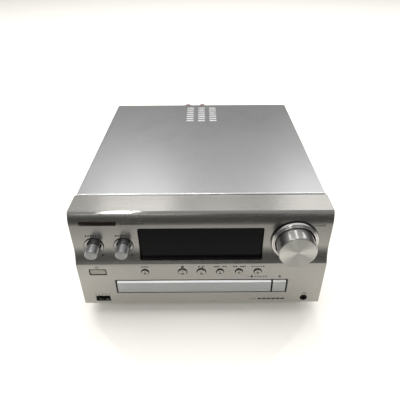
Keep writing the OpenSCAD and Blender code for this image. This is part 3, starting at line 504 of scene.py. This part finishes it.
def arc(x, z, r, width, start, end, steps=16):
    """A curved stroke from one angle to another, in degrees."""
    angles = [math.radians(start + (end - start) * k / steps) for k in range(steps + 1)]
    outer = [(x + (r + width / 2) * math.cos(a), z + (r + width / 2) * math.sin(a)) for a in angles]
    inner = [(x + (r - width / 2) * math.cos(a), z + (r - width / 2) * math.sin(a)) for a in reversed(angles)]
    return outer + inner


def printed(name, outlines, material="legend_ink"):
    """Thin printed shapes that follow the fascia; each outline is a list of (x, z) in mm."""
    bm = bmesh.new()
    for outline in outlines:
        front = [bm.verts.new(place(x, front_y(z) - INK_PROUD, z)) for x, z in outline]
        back = [bm.verts.new(place(x, front_y(z) + INK_DEEP, z)) for x, z in outline]
        bm.faces.new(front)
        bm.faces.new(list(reversed(back)))
        for k in range(len(outline)):
            nxt = (k + 1) % len(outline)
            bm.faces.new([front[k], back[k], back[nxt], front[nxt]])
    bmesh.ops.recalc_face_normals(bm, faces=bm.faces)
    bmesh.ops.triangulate(bm, faces=bm.faces)
    return piece(name, to_mesh(bm, name), [material], "cabinet")


ICON_Z = KEY_Z + 5.7
LOWER_Z = 33.6
SELECTOR_X, EJECT_X, JACK_X = KEYS["selector"], 67.4, 91.4


def arrows(middle, offsets, way):
    return [triangle(middle + dx, ICON_Z, 1.9, 1.9, way) for dx in offsets]


legends = [
    # power: a broken ring and a bar
    arc(POWER[0], 45.3, 1.1, 0.4, 125, 415),
    bar(POWER[0], 46.3, 0.4, 1.4),
    # stop, then play and pause
    bar(KEYS["stop"], ICON_Z, 2.2, 2.2),
    triangle(-1.5, ICON_Z, 2.1, 2.2),
    bar(0.9, ICON_Z, 0.6, 2.2),
    bar(2.1, ICON_Z, 0.6, 2.2),
    # skip back and skip forward
    bar(10.9, ICON_Z, 0.6, 1.9),
    *arrows(KEYS["back"], (-3.8, -1.9, 2.2, 4.2), -1),
    *arrows(KEYS["forward"], (-4.2, -2.2, 1.9, 3.8), 1),
    bar(37.1, ICON_Z, 0.6, 1.9),
    # radio: a mast between waves
    bar(KEYS["radio"], ICON_Z, 0.6, 2.0),
    arc(KEYS["radio"], ICON_Z + 0.3, 1.5, 0.5, -50, 50),
    arc(KEYS["radio"], ICON_Z + 0.3, 1.5, 0.5, 130, 230),
    bar(KEYS["radio"] - 2.8, ICON_Z, 0.7, 1.5),
    bar(KEYS["radio"] + 2.8, ICON_Z, 0.7, 1.5),
    # selector: two arrows on a dashed line
    triangle(SELECTOR_X - 5, ICON_Z, 1.7, 1.9, -1),
    *[bar(45.2 + 1.87 * k, ICON_Z, 1.1, 0.9) for k in range(4)],
    triangle(SELECTOR_X + 5, ICON_Z, 1.7, 1.9),
    # a lamp's mark and a dashed line under the selector
    arc(43.4, LOWER_Z, 0.6, 1.1, 0, 360),
    bar(40.6, LOWER_Z, 1.6, 0.4),
    *[bar(46.6 + 2.3 * k, LOWER_Z, 1.5, 0.8) for k in range(5)],
    # eject: a triangle over a bar
    [(EJECT_X - 1.3, 33.3), (EJECT_X + 1.3, 33.3), (EJECT_X, 34.9)],
    bar(EJECT_X, 32.7, 2.6, 0.5),
    # a row of marks over the data socket
    *[bar(-94.2 + 2.95 * k, 12.4, 1.4, 0.8) for k in range(5)],
    # headphones
    arc(JACK_X, 11.4, 1.3, 0.4, 0, 180),
    bar(JACK_X - 1.3, 11.0, 0.8, 1.1),
    bar(JACK_X + 1.3, 11.0, 0.8, 1.1),
]
# volume: bars that rise
legends += [bar(88.6 + 1.75 * k, 85.9, 0.8, 0.7 + 0.24 * k) for k in range(7)]
# a short row of marks to the right of the plate
legends += [bar(-63.2 + 2.1 * k, 88.6, 1.3, 1.0) for k in range(9)]
for x, z in TONES.values():
    # a scale of ticks over each tone knob, with a dot at its high end
    legends += [bar(x - 1 + dx, z + 10.6, 1.1, 1.9 if dx % 4 == 0 else 1.4) for dx in (-4, -2, 0, 2, 4)]
    legends += [arc(x + 6.4, z - 9.4, 0.45, 0.88, 0, 360)]
# a painted shadow line in ink along the top and both ends of the drawer's opening, where the gap falls dark
SLOT_SHADOW_LINE = 0.45
legends += [bar(DRAWER[0], DRAWER[1] + 8.15, 150.2, SLOT_SHADOW_LINE)]
legends += [bar(DRAWER[0] + side * 74.95, DRAWER[1], SLOT_SHADOW_LINE, 16.3) for side in (-1, 1)]
# a row of plain dashes at the lower right, with a fine line before it
legends += [bar(52.0 + 4.1 * k, 5.2, 3.4, 1.7) for k in range(6)]
legends += [bar(45.6, 4.7, 6.0, 0.35)]
printed("legends", legends)

# a plain dark plate with chamfered edges, which follows the fascia's lean
BADGE = {"left": -97.0, "right": -67.6, "foot": 87.2, "top": 90.7}
BADGE_ROWS = 6
PLATE_EDGE = 0.25
SUNK, SIDE_RISE, RISE = -0.1, 0.35, 0.6
bm = bmesh.new()
sections = []
for row in range(BADGE_ROWS + 1):
    z = BADGE["foot"] + (BADGE["top"] - BADGE["foot"]) * row / BADGE_ROWS
    at_end = row in (0, BADGE_ROWS)
    inset = PLATE_EDGE if at_end else 0
    left, right = BADGE["left"] + inset, BADGE["right"] - inset
    line = []
    for x, lift in (
        (left, SUNK), (left, SIDE_RISE), (left + PLATE_EDGE, RISE),
        (right - PLATE_EDGE, RISE), (right, SIDE_RISE), (right, SUNK),
    ):
        low = PLATE_EDGE if at_end and lift > 0 else 0
        line.append(bm.verts.new(place(x, front_y(z) - lift + low, z)))
    sections.append(line)
for a, b in zip(sections, sections[1:]):
    for k in range(len(a)):
        nxt = (k + 1) % len(a)
        bm.faces.new([a[k], a[nxt], b[nxt], b[k]])
bm.faces.new(sections[0])
bm.faces.new(list(reversed(sections[-1])))
bmesh.ops.recalc_face_normals(bm, faces=bm.faces)
smooth(bm, 50)
piece("name_plate", to_mesh(bm, "name_plate"), ["badge_gloss"], "cabinet")

def slab(bm, x, y, z, w, d, h, index):
    """Adds a box from its middle, in mm, with slightly softened edges."""
    made = bmesh.ops.create_cube(bm, size=1, matrix=Matrix.Translation(place(x, y, z)) @ Matrix.Diagonal(
        (w * MM, d * MM, h * MM, 1)))
    faces = {face for vert in made["verts"] for face in vert.link_faces}
    edges = list({edge for face in faces for edge in face.edges})
    for face in faces:
        face.material_index = index
    bmesh.ops.bevel(bm, geom=edges, offset=0.08 * MM, segments=1, affect="EDGES", material=index)


# the data socket's tongue, with four contacts under it and two latch springs below them
CONTACT_PITCH = 2.5
bm = bmesh.new()
slab(bm, USB[0], 7.6, USB[1] + 2.15, 11.0, 10.4, 0.9, 0)
for k in range(4):
    slab(bm, USB[0] + (k - 1.5) * CONTACT_PITCH, 5.6, USB[1] + 1.6, 1.0, 6.0, 0.25, 1)
for side in (-1, 1):
    slab(bm, USB[0] + side * 2.9, 4.0, USB[1] - 2.75, 1.9, 5.0, 0.35, 2)
piece("socket_tongue", to_mesh(bm, "socket_tongue"), ["white_plastic", "gold_contact", "bright_trim"],
      "cabinet")

# ---------------------------------------------------------------- studio


def color_socket(sockets, index=0):
    """One of a Mix node's colour sockets."""
    return [s for s in sockets if s.type == "RGBA"][index]


world = bpy.data.worlds.new("studio")
bpy.context.scene.world = world
world.use_nodes = True
nodes, link = world.node_tree.nodes, world.node_tree.links.new
where = nodes.new("ShaderNodeTexCoord")
split = nodes.new("ShaderNodeSeparateXYZ")
link(where.outputs["Generated"], split.inputs[0])


def sky(levels):
    """A grey gradient from the horizon up; levels is a list of (sine of the elevation, brightness)."""
    ramp = nodes.new("ShaderNodeValToRGB")
    link(split.outputs["Z"], ramp.inputs["Fac"])
    stops = ramp.color_ramp.elements
    while len(stops) < len(levels):
        stops.new(0.5)
    for stop, (position, level) in zip(stops, levels):
        stop.position = position
        stop.color = (level, level, level, 1)
    return ramp.outputs["Color"]


facing = nodes.new("ShaderNodeMapRange")
facing.interpolation_type = "SMOOTHSTEP"
facing.inputs["From Min"].default_value = -0.35
facing.inputs["From Max"].default_value = 0.35
link(split.outputs["Y"], facing.inputs["Value"])
both = nodes.new("ShaderNodeMix")
both.data_type = "RGBA"
link(facing.outputs["Result"], both.inputs["Factor"])
FRONT_SKY = [(0.0, 0.14), (0.3, 0.18), (0.55, 0.25), (0.8, 0.40), (1.0, 1.0)]
REAR_SKY = [(0.0, 0.08), (0.2, 0.12), (0.36, 0.22), (0.46, 0.50), (0.57, 0.92), (1.0, 1.0)]
link(sky(FRONT_SKY), color_socket(both.inputs, 0))
link(sky(REAR_SKY), color_socket(both.inputs, 1))
link(color_socket(both.outputs), nodes["Background"].inputs["Color"])

AIM = Vector((0, 0, 0.06))


def lamp(name, toward, distance, size, power, glossy=True):
    """A rectangular lamp seen from the player in a direction, facing it; glossy says if metal shows it."""
    light = bpy.data.lights.new(name, "AREA")
    light.shape = "RECTANGLE"
    light.size, light.size_y = size
    light.energy = power
    made = bpy.data.objects.new(name, light)
    bpy.context.scene.collection.objects.link(made)
    made.location = AIM + Vector(toward).normalized() * distance
    made.rotation_euler = (AIM - made.location).to_track_quat("-Z", "Y").to_euler()
    made.visible_glossy = glossy


# broad light from over and before the player, then windows and tubes whose reflections its metal shows
lamp("softbox", (-0.1, 0.1, 0.99), 1.7, (1.5, 1.5), 20, glossy=False)
lamp("window_left", (-0.215, 0.8, 0.69), 2.2, (0.46, 0.16), 1.15)
lamp("window_right", (0.41, 0.8, 0.71), 2.2, (0.66, 0.16), 1.6)
lamp("tube_a", (-0.50, 0.44, 0.74), 2.2, (0.05, 0.4), 6)
lamp("tube_b", (0.034, 0.45, 0.89), 2.2, (0.06, 0.4), 6)
lamp("tube_c", (0.60, 0.50, 0.63), 2.2, (0.06, 0.4), 6)
lamp("front_lamp", (-0.226, -0.613, 0.757), 2.12, (0.12, 0.4), 2.6)
lamp("front_low_left", (-0.2, -0.9, 0.36), 2.2, (0.9, 0.2), 2.6)
lamp("front_low_right", (0.35, -0.9, 0.36), 2.2, (0.7, 0.2), 0.9)
lamp("fill", (0.1, -0.8, 0.62), 2.0, (1.6, 1.2), 13.5, glossy=False)

REACH = 12


def sheet(name, far_y, z, material):
    """A flat sheet of the stage, from REACH metres in front of the middle back to far_y."""
    mesh = bpy.data.meshes.new(name)
    mesh.from_pydata([(-REACH, -REACH, z), (REACH, -REACH, z), (REACH, far_y, z), (-REACH, far_y, z)], [],
                     [(0, 1, 2, 3)])
    mesh.materials.append(material)
    made = bpy.data.objects.new(name, mesh)
    bpy.context.scene.collection.objects.link(made)
    return made


floor = sheet("floor", REACH, 0, finish("floor_paper", (0.88, 0.855, 0.80), 0.0, 0.75, tint=0.005,
                                        spread=0.03, grain=90, blotch=3, bump=0.02))

# a card in front of the player that only reflections see: pale near it and dark farther off
CARD_Y = {"near": -0.172, "far": -0.30}
CARD_PALE, CARD_DARK = (0.92, 0.90, 0.86), (0.05, 0.05, 0.05)
CARD_LIFT = 0.001
cloth = finish("card_cloth", CARD_DARK, 0.0, 0.9, grain=90, blotch=3, bump=0.02)
nodes, link = cloth.node_tree.nodes, cloth.node_tree.links.new
coords, split = nodes.new("ShaderNodeTexCoord"), nodes.new("ShaderNodeSeparateXYZ")
link(coords.outputs["Object"], split.inputs[0])
nearness = nodes.new("ShaderNodeMapRange")
nearness.inputs["From Min"].default_value = CARD_Y["far"]
nearness.inputs["From Max"].default_value = CARD_Y["near"]
link(split.outputs["Y"], nearness.inputs["Value"])
fade = nodes.new("ShaderNodeMix")
fade.data_type = "RGBA"
color_socket(fade.inputs, 0).default_value = (*CARD_DARK, 1)
color_socket(fade.inputs, 1).default_value = (*CARD_PALE, 1)
link(nearness.outputs["Result"], fade.inputs["Factor"])
link(color_socket(fade.outputs), nodes["Principled BSDF"].inputs["Base Color"])
card = sheet("card", CARD_Y["near"], CARD_LIFT, cloth)
for kind in ("camera", "diffuse", "shadow", "transmission", "volume_scatter"):
    setattr(card, "visible_" + kind, False)

# ---------------------------------------------------------------- camera

CAMERA_AT = CORNER + Vector((0.0034, -0.2349, 0.2834))
FOCAL, SENSOR = 34.84, 36
SHIFT = (-0.012, -0.039)
DOWN, ROLL = math.radians(33.36), math.radians(-0.37)
ahead = Vector((0, math.cos(DOWN), -math.sin(DOWN)))
right = Vector((1, 0, 0))
up = right.cross(ahead)
tilted_right = right * math.cos(ROLL) + up * math.sin(ROLL)
tilted_up = up * math.cos(ROLL) - right * math.sin(ROLL)
lens = bpy.data.cameras.new("camera")
lens.lens = FOCAL
lens.sensor_width = SENSOR
lens.shift_x, lens.shift_y = SHIFT
lens.clip_start = 0.01
camera = bpy.data.objects.new("camera", lens)
bpy.context.scene.collection.objects.link(camera)
turn = Matrix((tilted_right, tilted_up, -ahead)).transposed()
camera.matrix_world = Matrix.Translation(CAMERA_AT) @ turn.to_4x4()
bpy.context.scene.camera = camera
bpy.context.scene.view_settings.view_transform = "Standard"
